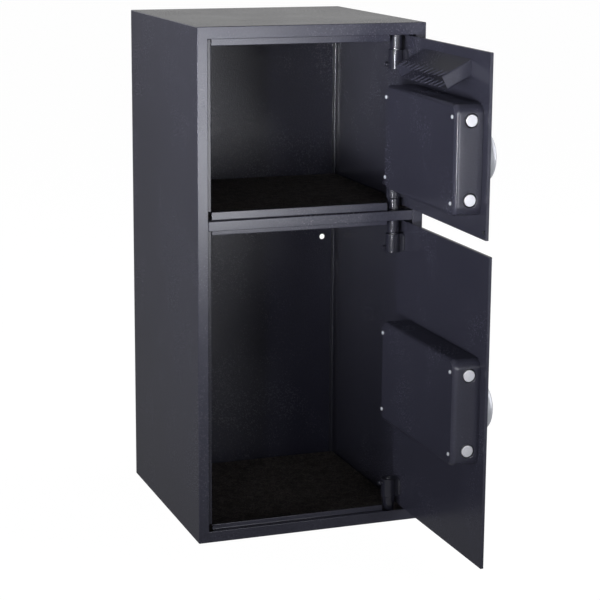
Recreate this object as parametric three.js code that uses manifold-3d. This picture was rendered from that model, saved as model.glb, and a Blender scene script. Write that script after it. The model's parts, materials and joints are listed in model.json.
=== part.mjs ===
// Two-door depository safe with a deposit slot and chute in its upper door.
// Millimetres, +Z up. The front faces -Y and both doors hang on the +X side.
// The origin is the middle of the underside.
// Every piece is placed from the front face, the cabinet's middle and the floor.
// A door's pieces are placed as they lie when it is shut, then its group turns it open.

import * as THREE from "three";
import * as BufferGeometryUtils from "three/addons/utils/BufferGeometryUtils.js";
import loadManifold from "manifold-3d";

const wasm = await loadManifold();
wasm.setup();

// Cabinet
const cabinetWidth = 350;
const cabinetDepth = 356;
const cabinetHeight = 762;
const wallSheet = 2;

// Front frame
const stileWidth = 16;
const headHeight = 17.7;
const sillHeight = 17.1;
const shelfBandHeight = 14.4;
const shelfReturnDepth = 50;

// Stop lips behind the front frame
const stopSetback = 9;
const headLipReach = 10;
const sideLipReach = 7;
const shelfUpLipReach = 12;
const shelfDownLipReach = 7.5;
const sillLipReach = 7.5;
const lipCornerRelief = 0.5;
const lipHingeRelief = 14;

// Anchor holes in the back panel
const anchorHoleRadius = 4.5;
const anchorHoleFromSide = 25;
const anchorHoleDrop = 90;

// Floor mats
const matThickness = 2;
const matGap = 2;

// Door plates
const doorSheet = 4.4;
const doorFreeGap = 1.5;
const doorHingeGap = 2.5;
const doorOuterGap = 2;
const doorShelfGap = 4.3;
const upperDoorOpenDegrees = 89.1;
const lowerDoorOpenDegrees = 90.3;
const cableHoleRadius = 5;

// Hinges
const hingeFromSide = 39;
const hingeDepth = 20.5;
const barrelRadius = 11.5;
const barrelLength = 28;
const barrelWebWidth = 14;
const postRadius = 9;
const pinRadius = 5.5;
const pinFit = 0.4;
const pinEngagement = 13;
const pinRecess = 2;
const topHingeDrop = 22.7;
const bottomHingeRise = 18;
const hingeEndGap = 1.2;

// Lock covers on the inner faces
const coverFromFreeEdge = 17.5;
const coverFromHinge = 19;
const coverHeight = 154;
const coverDepth = 40;
const coverCornerRadius = 14;
const coverEdgeRadius = 7;
const coverSheet = 1.5;
const coverBelowChute = 14.455;
const coverAboveDoorBottom = 30.7;

// Live bolts
const boltRadius = 9;
const boltLength = 55;
const boltThrow = 20;
const boltDepth = 16.8;
const boltFromCoverEnd = 22.8;
const boltFit = 0.4;
const boltProud = 0.6;

// Keypad housings on the outer faces
const bezelFromFreeEdge = 18;
const bezelWidth = 152;
const bezelHeight = 72;
const bezelRise = 20;
const bezelEdgeRadius = 9;
const bezelWall = 2.5;

// Keys
const digits = [0, 1, 2, 3, 4, 5, 6, 7, 8, 9];
const keyRows = 4;
const keyColumns = 3;
const keypadHeightShare = 0.926;
const keyAspectShare = 1.04;
const keySpacing = 3;
const keyRise = 2.5;
const keyCornerRadius = 1.5;
const keyFlange = 0.7;
const keyFlangeThickness = 1.5;
const keyFit = 0.3;
const keypadFromCapCentre = 5;

// Knobs with their spindles and cranks
const knobRadius = 17;
const knobLength = 20;
const knobFlangeThickness = 5;
const knobEdge = 3;
const knobWaistRadius = 13;
const gripWidth = 9;
const gripLength = 28;
const knobGap = 0.5;
const spindleRadius = 4;
const spindleFit = 0.5;
const crankGap = 0.8;
const crankSheet = 3;
const crankHubRadius = 8;
const crankArmWidth = 9;
const crankPinRadius = 2.5;
const crankPlay = 0.7;

// Bolt carriages
const carriageSheet = 3;
const carriageGap = 2.8;
const carriageFlangeMargin = 3;
const carriageTail = 6.6;
const notchPlay = 0.6;
const notchDepth = 4.2;
const notchBridge = 0.5;

// Solenoids and their plungers
const solenoidWidth = 28;
const solenoidDepth = 16;
const solenoidHeight = 30;
const solenoidFromFlange = 22;
const solenoidGap = 2;
const plungerRadius = 3;
const plungerLength = 16;
const plungerGap = 0.5;
const plungerFit = 0.3;

// Deposit chute on the upper door
const chuteFromFreeEdge = 60;
const chuteFromHinge = 66;
const chuteBelowDoorTop = 14;
const chuteLength = 48.5;
const chuteRise = 20.8;
const chuteSheet = 1.5;
const chuteSlopeDegrees = 27.5;
const slotMargin = 0.8;
const toothPitch = 16;
const toothLength = 13;
const notchRootWidth = 3;
const notchMouthWidth = 13;
const topNotchMargins = [8.5, 12];
const bottomNotchMargins = [27, 40];

// Seats, cuts and roundness
const seatGap = 0.3;
const cutOverrun = 5;
const roundSegments = 24;
const cornerSegments = 4;

// Places worked out from the sizes above
const halfWidth = cabinetWidth / 2;
const wallInner = halfWidth - wallSheet;
const frameInner = halfWidth - stileWidth;
const headBottom = cabinetHeight - headHeight;
const chuteSlope = THREE.MathUtils.degToRad(chuteSlopeDegrees);
const chuteDrop = chuteLength * Math.sin(chuteSlope) + chuteRise * Math.cos(chuteSlope);
const upperDoorTop = headBottom - doorOuterGap;
const upperCoverTop = upperDoorTop - chuteBelowDoorTop - chuteDrop - coverBelowChute;
const upperDoorBottom = upperCoverTop - coverHeight - coverAboveDoorBottom;
const shelfTop = upperDoorBottom - doorShelfGap;
const shelfBandBottom = shelfTop - shelfBandHeight;
const lowerDoorHeights = [sillHeight + doorOuterGap, shelfBandBottom - doorShelfGap];
const backInner = cabinetDepth - wallSheet;
const lipBack = stopSetback + wallSheet;
const hingeAcross = halfWidth - hingeFromSide;
const lipAcross = [-frameInner + sideLipReach + lipCornerRelief, hingeAcross - lipHingeRelief];
const doorFreeEdge = -frameInner + doorFreeGap;
const doorHingeEdge = frameInner - doorHingeGap;
const doorBack = doorSheet + seatGap;
const coverAcross = [doorFreeEdge + coverFromFreeEdge, hingeAcross - coverFromHinge];
const boltAxisDepth = doorSheet + boltDepth;
const boltSpacing = coverHeight - 2 * boltFromCoverEnd;
const boltEnd = coverAcross[0] - boltProud;
const bezelCapRadius = bezelHeight / 2;
const bezelFlatRadius = bezelCapRadius - bezelEdgeRadius;
const bezelFreeEnd = doorFreeEdge + bezelFromFreeEdge;
const keypadAcross = bezelFreeEnd + bezelCapRadius + keypadFromCapCentre;
const keyPitchUp = (2 * bezelFlatRadius * keypadHeightShare) / keyRows;
const keyPitchAcross = keyPitchUp * keyAspectShare;
const keyWidth = keyPitchAcross - keySpacing;
const keyHeight = keyPitchUp - keySpacing;
const knobAcross = bezelFreeEnd + bezelWidth - bezelCapRadius;
const crankRadius = boltThrow / Math.SQRT2;
const crankFront = doorSheet + crankGap;
const crankBack = crankFront + crankSheet;
const flangeStart = boltEnd + boltLength + seatGap;
const webFront = crankBack + carriageGap;
const webBack = webFront + carriageSheet;
const webMiddle = (webFront + webBack) / 2;
const slotHalf = crankPinRadius + crankPlay;
const webHalf = crankRadius + slotHalf + notchBridge + notchDepth;
const plungerAcross = flangeStart + carriageSheet + solenoidFromFlange;
const chuteStart = doorFreeEdge + chuteFromFreeEdge;
const chuteEnd = hingeAcross - chuteFromHinge;

// Finishes
const blackPaint = finish(0x2b2b31, 0.5, 0.1);
const felt = finish(0x1b1b1d, 0.95, 0);
const brightSteel = finish(0xc9cbd0, 0.25, 0.9);
const zincSteel = finish(0x9a9ca0, 0.4, 0.8);
const silverPlastic = finish(0xb9bcc0, 0.35, 0.3);
const darkRubber = finish(0x25262a, 0.7, 0);
const coilPlastic = finish(0x31506b, 0.6, 0);

function finish(color, roughness, metalness) {
  return new THREE.MeshStandardMaterial({ color, roughness, metalness });
}

// A named mesh
function piece(name, geometry, material = blackPaint) {
  const mesh = new THREE.Mesh(geometry, material);
  mesh.name = name;
  return mesh;
}

// A closed geometry as a solid that can be joined and cut
function solid(geometry) {
  const bare = geometry.clone();
  bare.deleteAttribute("normal");
  bare.deleteAttribute("uv");
  const merged = BufferGeometryUtils.mergeVertices(bare);
  const vertProperties = new Float32Array(merged.attributes.position.array);
  const triVerts = new Uint32Array(merged.index.array);
  return new wasm.Manifold(new wasm.Mesh({ numProp: 3, vertProperties, triVerts }));
}

// A solid as a geometry again
function shaped(whole) {
  const { vertProperties, triVerts } = whole.getMesh();
  const geometry = new THREE.BufferGeometry();
  geometry.setAttribute("position", new THREE.BufferAttribute(vertProperties, 3));
  geometry.setIndex(new THREE.BufferAttribute(triVerts, 1));
  geometry.computeVertexNormals();
  return geometry;
}

// Several geometries joined into one
function joined(first, ...others) {
  return shaped(others.reduce((whole, other) => whole.add(solid(other)), solid(first)));
}

// A geometry with others cut out of it
function cutBy(first, ...tools) {
  return shaped(tools.reduce((rest, tool) => rest.subtract(solid(tool)), solid(first)));
}

// A box between two places along each axis
function box([left, right], [front, back], [bottom, top]) {
  const geometry = new THREE.BoxGeometry(1, 1, 1);
  geometry.scale(right - left, back - front, top - bottom);
  return geometry.translate((left + right) / 2, (front + back) / 2, (bottom + top) / 2);
}

// A stretch of a given length about a middle
function about(middle, length) {
  return [middle - length / 2, middle + length / 2];
}

// A round bar along X, Y or Z between two places, centred on the other two axes
function bar(axis, [start, end], radius, [across, depth, height] = [0, 0, 0]) {
  const geometry = new THREE.CylinderGeometry(radius, radius, end - start, roundSegments);
  geometry.translate(0, (start + end) / 2, 0);
  if (axis === "x") geometry.rotateZ(-Math.PI / 2);
  if (axis === "z") geometry.rotateX(Math.PI / 2);
  return geometry.translate(across, depth, height);
}

// A turn that stands a drawing upright, so that it is extruded toward the front
const upright = new THREE.Matrix4().makeBasis(
  new THREE.Vector3(1, 0, 0),
  new THREE.Vector3(0, 0, 1),
  new THREE.Vector3(0, -1, 0),
);

// A rectangle with round corners about the drawing's origin
function roundedRectangle(width, height, radius) {
  const right = width / 2 - radius;
  const top = height / 2 - radius;
  const shape = new THREE.Shape();
  shape.moveTo(-right, -top - radius);
  shape.absarc(right, -top, radius, -Math.PI / 2, 0);
  shape.absarc(right, top, radius, 0, Math.PI / 2);
  shape.absarc(-right, top, radius, Math.PI / 2, Math.PI);
  shape.absarc(-right, -top, radius, Math.PI, Math.PI * 1.5);
  return shape;
}

// A block with round corners that stands off the plane y = 0 toward the front.
// Its far edge is rounded all round.
function pillow(width, height, rise, cornerRadius, edgeRadius) {
  const core = roundedRectangle(
    width - 2 * edgeRadius,
    height - 2 * edgeRadius,
    cornerRadius - edgeRadius,
  );
  const block = new THREE.ExtrudeGeometry(core, {
    depth: rise,
    bevelThickness: edgeRadius,
    bevelSize: edgeRadius,
    bevelSegments: cornerSegments,
    curveSegments: cornerSegments,
  });
  block.translate(0, 0, -edgeRadius);
  const backHalf = box([-width, width], [-height, height], [-rise - 2 * edgeRadius, 0]);
  return cutBy(block, backHalf).applyMatrix4(upright);
}

// A pillow hollowed from behind to an even wall
function hollowPillow(width, height, rise, cornerRadius, edgeRadius, wall) {
  const inside = pillow(
    width - 2 * wall,
    height - 2 * wall,
    rise - wall,
    cornerRadius - wall,
    edgeRadius - wall,
  );
  return cutBy(pillow(width, height, rise, cornerRadius, edgeRadius), inside);
}

// Cabinet shell: wrapped sides, top and floor with the flat front frame
function cabinetShell() {
  const outside = box([-halfWidth, halfWidth], [0, cabinetDepth], [0, cabinetHeight]);
  const inside = box(
    [-wallInner, wallInner],
    [wallSheet, cabinetDepth + cutOverrun],
    [wallSheet, cabinetHeight - wallSheet],
  );
  const opening = box(
    [-frameInner, frameInner],
    [-cutOverrun, wallSheet + cutOverrun],
    [sillHeight, headBottom],
  );
  return cutBy(outside, inside, opening);
}

// Back panel with its two anchor holes
function backPanel() {
  const sheet = box(
    [-wallInner, wallInner],
    [backInner, cabinetDepth],
    [wallSheet, cabinetHeight - wallSheet],
  );
  const through = [backInner - cutOverrun, cabinetDepth + cutOverrun];
  const holeHeight = shelfBandBottom - anchorHoleDrop;
  const holes = [-1, 1].map((side) => {
    const holeAcross = side * (halfWidth - anchorHoleFromSide);
    return bar("y", through, anchorHoleRadius, [holeAcross, 0, holeHeight]);
  });
  return cutBy(sheet, ...holes);
}

// Divider shelf: its front band, deck and lower return, with a stop lip up and one down
function dividerShelf() {
  const deckHeights = [shelfTop - wallSheet, shelfTop];
  const returnHeights = [shelfBandBottom, shelfBandBottom + wallSheet];
  const lipDepths = [stopSetback, lipBack];
  return joined(
    box([-frameInner, frameInner], [0, wallSheet], [shelfBandBottom, shelfTop]),
    box([-wallInner, wallInner], [wallSheet, backInner], deckHeights),
    box([-wallInner, wallInner], [wallSheet, shelfReturnDepth], returnHeights),
    box(lipAcross, lipDepths, [deckHeights[0], shelfTop + shelfUpLipReach]),
    box(lipAcross, lipDepths, [shelfBandBottom - shelfDownLipReach, returnHeights[1]]),
  );
}

// Stop angles: a ledge that runs back from the frame and a lip at its end
function headStop() {
  const ledgeTop = headBottom + wallSheet;
  return joined(
    box(lipAcross, [wallSheet, lipBack], [headBottom, ledgeTop]),
    box(lipAcross, [stopSetback, lipBack], [headBottom - headLipReach, ledgeTop]),
  );
}

function sillStop() {
  const ledgeBottom = sillHeight - wallSheet;
  return joined(
    box(lipAcross, [wallSheet, lipBack], [ledgeBottom, sillHeight]),
    box(lipAcross, [stopSetback, lipBack], [ledgeBottom, sillHeight + sillLipReach]),
  );
}

function sideStop(heights) {
  const ledgeSide = -frameInner - wallSheet;
  return joined(
    box([ledgeSide, -frameInner], [wallSheet, lipBack], heights),
    box([ledgeSide, -frameInner + sideLipReach], [stopSetback, lipBack], heights),
  );
}

// Floor mat behind the hinge posts
function floorMat(bottom) {
  return box(
    [-wallInner + matGap, wallInner - matGap],
    [hingeDepth + postRadius + matGap, backInner - matGap],
    [bottom, bottom + matThickness],
  );
}

// Hinge post from its root on the cabinet, with a blind socket in its free end
function hingePost(root, end) {
  const inward = Math.sign(root - end);
  const onAxis = [hingeAcross, hingeDepth, 0];
  const socketEnds = [end - inward * cutOverrun, end + inward * (pinEngagement + hingeEndGap)];
  const inOrder = (ends) => ends.sort((lower, upper) => lower - upper);
  return cutBy(
    bar("z", inOrder([root, end]), postRadius, onAxis),
    bar("z", inOrder(socketEnds), pinRadius + pinFit, onAxis),
  );
}

// Hinge barrel: a tube with a web that meets the door plate
function hingeBarrel([bottom, top]) {
  const onAxis = [hingeAcross, hingeDepth, 0];
  const tube = bar("z", [bottom, top], barrelRadius, onAxis);
  const web = box(about(hingeAcross, barrelWebWidth), [doorBack, hingeDepth], [bottom, top]);
  const bore = bar("z", [bottom - cutOverrun, top + cutOverrun], pinRadius + pinFit, onAxis);
  return cutBy(joined(tube, web), bore);
}

function hingePin(heights) {
  return bar("z", heights, pinRadius, [hingeAcross, hingeDepth, 0]);
}

// Door plate with the holes for the spindle and the keypad's cable
function doorPlate(heights, lockHeight, slots) {
  const through = [-cutOverrun, doorSheet + cutOverrun];
  return cutBy(
    box([doorFreeEdge, doorHingeEdge], [0, doorSheet], heights),
    bar("y", through, spindleRadius + spindleFit, [knobAcross, 0, lockHeight]),
    bar("y", through, cableHoleRadius, [keypadAcross, 0, lockHeight]),
    ...slots,
  );
}

// Lock cover: a pressed pan with round holes for the bolts in its free side
function lockCover(lockHeight) {
  const [free, hinged] = coverAcross;
  const pan = hollowPillow(
    hinged - free,
    coverHeight,
    coverDepth,
    coverCornerRadius,
    coverEdgeRadius,
    coverSheet,
  );
  pan.rotateZ(Math.PI);
  pan.translate((free + hinged) / 2, doorBack, lockHeight);
  const boltHoles = about(lockHeight, boltSpacing).map((height) =>
    bar("x", about(free, 2 * cutOverrun), boltRadius + boltFit, [0, boltAxisDepth, height]),
  );
  return cutBy(pan, ...boltHoles);
}

function liveBolt(height) {
  return bar("x", [boltEnd, boltEnd + boltLength], boltRadius, [0, boltAxisDepth, height]);
}

// Bolt carriage: its flange carries the bolts, its web takes the crank pin and the plunger
function boltCarriage(lockHeight) {
  const flangeSpan = boltSpacing + 2 * (boltRadius + carriageFlangeMargin);
  const flange = box(
    [flangeStart, flangeStart + carriageSheet],
    [webFront, boltAxisDepth + boltRadius],
    about(lockHeight, flangeSpan),
  );
  const pinAcross = knobAcross + boltThrow / 2;
  const web = box(
    [flangeStart, pinAcross + slotHalf + carriageTail],
    [webFront, webBack],
    about(lockHeight, 2 * webHalf),
  );
  const through = [webFront - cutOverrun, webBack + cutOverrun];
  const crankSlot = box(
    about(pinAcross, 2 * slotHalf),
    through,
    [lockHeight + boltThrow / 2 - slotHalf, lockHeight + crankRadius + slotHalf],
  );
  const webTop = lockHeight + webHalf;
  const notches = [0, boltThrow].map((shift) =>
    box(
      about(plungerAcross + shift, 2 * (plungerRadius + notchPlay)),
      through,
      [webTop - notchDepth, webTop + cutOverrun],
    ),
  );
  return cutBy(joined(flange, web), crankSlot, ...notches);
}

// Solenoid above the web, with a blind bore for its plunger
function solenoid(lockHeight) {
  const bottom = lockHeight + webHalf + solenoidGap;
  return cutBy(
    box(
      about(plungerAcross, solenoidWidth),
      [doorBack, doorBack + solenoidDepth],
      [bottom, bottom + solenoidHeight],
    ),
    bar("z", [bottom - cutOverrun, bottom + plungerLength], plungerRadius + plungerFit, [
      plungerAcross,
      webMiddle,
      0,
    ]),
  );
}

function plunger(lockHeight) {
  const tip = lockHeight + webHalf + plungerGap;
  return bar("z", [tip, tip + plungerLength], plungerRadius, [plungerAcross, webMiddle, 0]);
}

// The middle of one key: 1 to 9 in rows from the top, and 0 below them in the middle
function keyCentre(digit, lockHeight) {
  const place = digit === 0 ? keyColumns * keyRows - 2 : digit - 1;
  const column = (place % keyColumns) - (keyColumns - 1) / 2;
  const row = (keyRows - 1) / 2 - Math.floor(place / keyColumns);
  return [keypadAcross + column * keyPitchAcross, lockHeight + row * keyPitchUp];
}

// Keypad bezel: a silver housing with round ends, key holes and a spindle hole
function keypadBezel(lockHeight) {
  const housing = hollowPillow(
    bezelWidth,
    bezelHeight,
    bezelRise - seatGap,
    bezelCapRadius,
    bezelEdgeRadius,
    bezelWall,
  );
  housing.translate(bezelFreeEnd + bezelWidth / 2, -seatGap, lockHeight);
  const through = about(-bezelRise, 2 * cutOverrun);
  const keyHoles = digits.map((digit) => {
    const [across, height] = keyCentre(digit, lockHeight);
    return box(
      about(across, keyWidth + 2 * keyFit),
      through,
      about(height, keyHeight + 2 * keyFit),
    );
  });
  const spindleHole = bar("y", through, spindleRadius + spindleFit, [knobAcross, 0, lockHeight]);
  return cutBy(housing, ...keyHoles, spindleHole);
}

// One key: a cap that stands out of the bezel and a flange that keeps it in
function key(digit, lockHeight) {
  const [across, height] = keyCentre(digit, lockHeight);
  const flangeFront = bezelWall + keyFit;
  const capBack = flangeFront + keyFlangeThickness;
  const cap = new THREE.ExtrudeGeometry(roundedRectangle(keyWidth, keyHeight, keyCornerRadius), {
    depth: keyRise + capBack,
    bevelEnabled: false,
    curveSegments: 2,
  });
  cap.applyMatrix4(upright);
  cap.translate(0, capBack, 0);
  const flange = box(
    about(0, keyWidth + 2 * keyFlange),
    [flangeFront, capBack],
    about(0, keyHeight + 2 * keyFlange),
  );
  return joined(cap, flange).translate(across, -bezelRise, height);
}

// Knob with its grip, spindle, crank and crank pin, made about its own axis
function knob(lockHeight) {
  const base = -bezelRise - knobGap;
  const waistTop = knobLength - knobEdge;
  const profile = [
    [0, 0],
    [knobRadius, 0],
    [knobRadius, knobFlangeThickness - knobEdge],
    [knobRadius - knobEdge, knobFlangeThickness],
    [knobWaistRadius, knobFlangeThickness],
    [knobWaistRadius - knobEdge, waistTop],
    [0, waistTop],
  ].map(([radius, along]) => new THREE.Vector2(radius, along));
  const body = new THREE.LatheGeometry(profile, roundSegments);
  body.rotateX(Math.PI);
  body.translate(0, base, 0);
  const inFlange = base - knobFlangeThickness / 2;
  const grip = box(about(0, gripWidth), [base - knobLength, inFlange], about(0, gripLength));
  const spindle = bar("y", [inFlange, (crankFront + crankBack) / 2], spindleRadius);
  const crankDepths = [crankFront, crankBack];
  const crank = joined(
    bar("y", crankDepths, crankHubRadius),
    box([0, crankRadius], crankDepths, about(0, crankArmWidth)),
    bar("y", crankDepths, crankArmWidth / 2, [crankRadius, 0, 0]),
    bar("y", [crankFront, webBack + crankPlay], crankPinRadius, [crankRadius, 0, 0]),
  );
  crank.rotateY(-Math.PI / 4);
  return joined(body, grip, spindle, crank).translate(knobAcross, 0, lockHeight);
}

// V-shaped gaps between the teeth of one edge, each a prism through the sheet.
// As many fit as the edge has room for between its two margins.
function toothGaps([startMargin, endMargin], [low, high]) {
  const root = chuteLength - toothLength;
  const mouth = chuteLength + cutOverrun;
  const gap = new THREE.Shape();
  gap.moveTo(-notchRootWidth / 2, root);
  gap.lineTo(notchRootWidth / 2, root);
  gap.lineTo(notchMouthWidth / 2, chuteLength);
  gap.lineTo(notchMouthWidth / 2, mouth);
  gap.lineTo(-notchMouthWidth / 2, mouth);
  gap.lineTo(-notchMouthWidth / 2, chuteLength);
  const prism = new THREE.ExtrudeGeometry(gap, { depth: high - low, bevelEnabled: false });
  const first = chuteStart + startMargin;
  const count = Math.floor((chuteEnd - endMargin - first) / toothPitch) + 1;
  return Array.from({ length: count }, (unused, index) =>
    prism.clone().translate(first + index * toothPitch, 0, low),
  );
}

// Deposit chute: a sheet tube that slopes down from the slot, with toothed edges.
// It is made level, with its upper back edge at y = 0 and z = 0, and then sloped.
function depositChute(doorTop) {
  const lowerInside = -chuteRise + chuteSheet;
  const level = cutBy(
    box([chuteStart, chuteEnd], [-cutOverrun, chuteLength], [-chuteRise, 0]),
    box(
      [chuteStart + chuteSheet, chuteEnd - chuteSheet],
      [-2 * cutOverrun, chuteLength + cutOverrun],
      [lowerInside, -chuteSheet],
    ),
    ...toothGaps(topNotchMargins, [-chuteSheet - cutOverrun, cutOverrun]),
    ...toothGaps(bottomNotchMargins, [-chuteRise - cutOverrun, lowerInside + cutOverrun]),
  );
  level.rotateX(-chuteSlope);
  const beforeDoor = box(
    [chuteStart - cutOverrun, chuteEnd + cutOverrun],
    [-chuteLength, 0],
    [-chuteLength, chuteLength],
  );
  return cutBy(level, beforeDoor).translate(0, doorBack, doorTop - chuteBelowDoorTop);
}

// Deposit slot in the door plate, inside the chute's walls
function depositSlot(doorTop) {
  const inset = chuteSheet + slotMargin;
  const chuteTop = doorTop - chuteBelowDoorTop;
  const slotTop = chuteTop - inset / Math.cos(chuteSlope);
  const slotBottom = chuteTop - (chuteRise - inset) / Math.cos(chuteSlope);
  return box(
    [chuteStart + inset, chuteEnd - inset],
    [-cutOverrun, doorSheet + cutOverrun],
    [slotBottom, slotTop],
  );
}

// A door with all that it carries, hung on its hinge axis and turned open
function door({ side, opening, plate, lockHeight, openDegrees, slots = [], others = [] }) {
  const [lowBolt, highBolt] = about(lockHeight, boltSpacing);
  const bottomRise = opening[0] + bottomHingeRise;
  const topDrop = opening[1] - topHingeDrop;
  const topBarrel = [topDrop - barrelLength, topDrop];
  const bottomBarrel = [bottomRise, bottomRise + barrelLength];
  const pinReach = hingeEndGap + pinEngagement;
  const topPin = [topBarrel[0] + pinRecess, topBarrel[1] + pinReach];
  const bottomPin = [bottomBarrel[0] - pinReach, bottomBarrel[1] - pinRecess];
  const carried = new THREE.Group();
  carried.add(
    piece(`${side}_door`, doorPlate(plate, lockHeight, slots)),
    piece(`${side}_hinge_barrel_top`, hingeBarrel(topBarrel)),
    piece(`${side}_hinge_barrel_bottom`, hingeBarrel(bottomBarrel)),
    piece(`${side}_hinge_pin_top`, hingePin(topPin), zincSteel),
    piece(`${side}_hinge_pin_bottom`, hingePin(bottomPin), zincSteel),
    piece(`${side}_lock_cover`, lockCover(lockHeight)),
    piece(`${side}_bolt_high`, liveBolt(highBolt), brightSteel),
    piece(`${side}_bolt_low`, liveBolt(lowBolt), brightSteel),
    piece(`${side}_bolt_carriage`, boltCarriage(lockHeight), zincSteel),
    piece(`${side}_solenoid`, solenoid(lockHeight), coilPlastic),
    piece(`${side}_plunger`, plunger(lockHeight), brightSteel),
    piece(`${side}_keypad_bezel`, keypadBezel(lockHeight), silverPlastic),
    piece(`${side}_knob`, knob(lockHeight), silverPlastic),
    ...digits.map((digit) => piece(`${side}_key_${digit}`, key(digit, lockHeight), darkRubber)),
    ...others,
  );
  carried.position.set(-hingeAcross, -hingeDepth, 0);
  const hung = new THREE.Group();
  hung.add(carried);
  hung.position.set(hingeAcross, hingeDepth, 0);
  hung.rotation.z = THREE.MathUtils.degToRad(openDegrees);
  return hung;
}

// All that stays still
function cabinet() {
  const aboveUpLip = shelfTop + shelfUpLipReach + lipCornerRelief;
  const aboveSillLip = sillHeight + sillLipReach + lipCornerRelief;
  const topPostDrop = topHingeDrop - hingeEndGap;
  const bottomPostRise = bottomHingeRise - hingeEndGap;
  const group = new THREE.Group();
  group.add(
    piece("cabinet_shell", cabinetShell()),
    piece("back_panel", backPanel()),
    piece("divider_shelf", dividerShelf()),
    piece("head_stop", headStop()),
    piece("sill_stop", sillStop()),
    piece("upper_side_stop", sideStop([aboveUpLip, headBottom - lipCornerRelief])),
    piece("lower_side_stop", sideStop([aboveSillLip, shelfBandBottom - lipCornerRelief])),
    piece("upper_floor_mat", floorMat(shelfTop), felt),
    piece("lower_floor_mat", floorMat(wallSheet), felt),
    piece("upper_hinge_post_top", hingePost(cabinetHeight - wallSheet, headBottom - topPostDrop)),
    piece("upper_hinge_post_bottom", hingePost(shelfTop, shelfTop + bottomPostRise)),
    piece("lower_hinge_post_top", hingePost(shelfBandBottom, shelfBandBottom - topPostDrop)),
    piece("lower_hinge_post_bottom", hingePost(wallSheet, sillHeight + bottomPostRise)),
  );
  return group;
}

const fromFront = new THREE.Group();
fromFront.position.y = -cabinetDepth / 2;
fromFront.add(
  cabinet(),
  door({
    side: "upper",
    opening: [shelfTop, headBottom],
    plate: [upperDoorBottom, upperDoorTop],
    lockHeight: upperCoverTop - coverHeight / 2,
    openDegrees: upperDoorOpenDegrees,
    slots: [depositSlot(upperDoorTop)],
    others: [piece("deposit_chute", depositChute(upperDoorTop))],
  }),
  door({
    side: "lower",
    opening: [sillHeight, shelfBandBottom],
    plate: lowerDoorHeights,
    lockHeight: (lowerDoorHeights[0] + lowerDoorHeights[1]) / 2,
    openDegrees: lowerDoorOpenDegrees,
  }),
);

const safe = new THREE.Group();
safe.add(fromFront);

export default safe;
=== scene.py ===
# %% [markdown]
# # A two-door deposit safe
# This lesson dresses a steel safe: a wrapped sheet cabinet, two plate doors that stand
# open, pressed lock covers, round bolts and a toothed deposit chute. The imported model
# already holds every piece at its real size, so each step starts from a measured box
# of the frame and adds the rounding, the finish and the small parts that a maker adds.

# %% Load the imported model
import json
import math

import bmesh
import bpy
from mathutils import Matrix, Quaternion, Vector, noise


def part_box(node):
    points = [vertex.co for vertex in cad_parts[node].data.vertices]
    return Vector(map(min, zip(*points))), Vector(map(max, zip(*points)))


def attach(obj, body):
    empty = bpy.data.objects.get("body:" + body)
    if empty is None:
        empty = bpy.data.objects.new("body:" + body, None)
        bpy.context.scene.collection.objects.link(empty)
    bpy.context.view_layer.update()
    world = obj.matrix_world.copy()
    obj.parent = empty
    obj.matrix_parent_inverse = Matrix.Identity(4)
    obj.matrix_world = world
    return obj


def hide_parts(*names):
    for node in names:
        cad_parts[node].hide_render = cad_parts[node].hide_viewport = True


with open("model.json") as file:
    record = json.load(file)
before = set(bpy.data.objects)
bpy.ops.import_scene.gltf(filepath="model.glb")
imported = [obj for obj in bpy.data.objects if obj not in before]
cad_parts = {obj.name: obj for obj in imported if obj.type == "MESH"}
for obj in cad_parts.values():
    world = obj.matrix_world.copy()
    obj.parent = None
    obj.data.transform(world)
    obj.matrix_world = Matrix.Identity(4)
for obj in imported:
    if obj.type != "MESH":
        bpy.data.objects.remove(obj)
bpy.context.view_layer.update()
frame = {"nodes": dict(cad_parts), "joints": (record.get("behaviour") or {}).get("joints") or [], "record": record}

MM = 0.001
SIDES = ("upper", "lower")

# %% [markdown]
# ## Doors that stand open
# Both doors were modelled shut and then turned about their hinge pins. A piece on a door
# is easiest to build while the door is shut, because its edges then run along X, Y and Z.
# The joint says how far each door is open, so one matrix takes a shut piece to its place.

# %% The turn that opens each door
joints = {joint["name"]: joint for joint in frame["joints"]}


def opening_turn(side):
    swing = joints[f"{side}_door_swing"]
    on_axis = Vector(swing["pos_m"])
    open_angle = math.radians(-swing["range_deg"][0])
    turned = Matrix.Rotation(open_angle, 4, "Z")
    return Matrix.Translation(on_axis) @ turned @ Matrix.Translation(-on_axis)


OPENING = {side: opening_turn(side) for side in SIDES}


def shut_box(node, side):
    """Lowest and highest corner of a door's node, as it lies when the door is shut."""
    back = OPENING[side].inverted()
    points = [back @ vertex.co for vertex in frame["nodes"][node].data.vertices]
    low = Vector([min(point[axis] for point in points) for axis in range(3)])
    high = Vector([max(point[axis] for point in points) for axis in range(3)])
    return low, high


def middle_at(low, high, y):
    """The middle of a box across and up, at a given depth."""
    return Vector(((low.x + high.x) / 2, y, (low.z + high.z) / 2))


for side in SIDES:
    low, high = shut_box(f"{side}_door", side)
    print(side, "door plate in mm", [round(size / MM, 1) for size in high - low])

# %% [markdown]
# ## Camera
# The photograph was taken from the left front, a little above the safe, with a long lens.
# Its frame is shifted down a little, which keeps the cabinet's upright edges nearly upright.

# %% Camera
camera_place = Vector((-0.93469, -2.67346, 0.96649))
camera_forward = Vector((0.337251, 0.919129, -0.203627))
camera_roll = math.radians(0.398)
sensor_width = 36
lens_length = 111.293
frame_shift = -0.06
far_limit = 100

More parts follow.
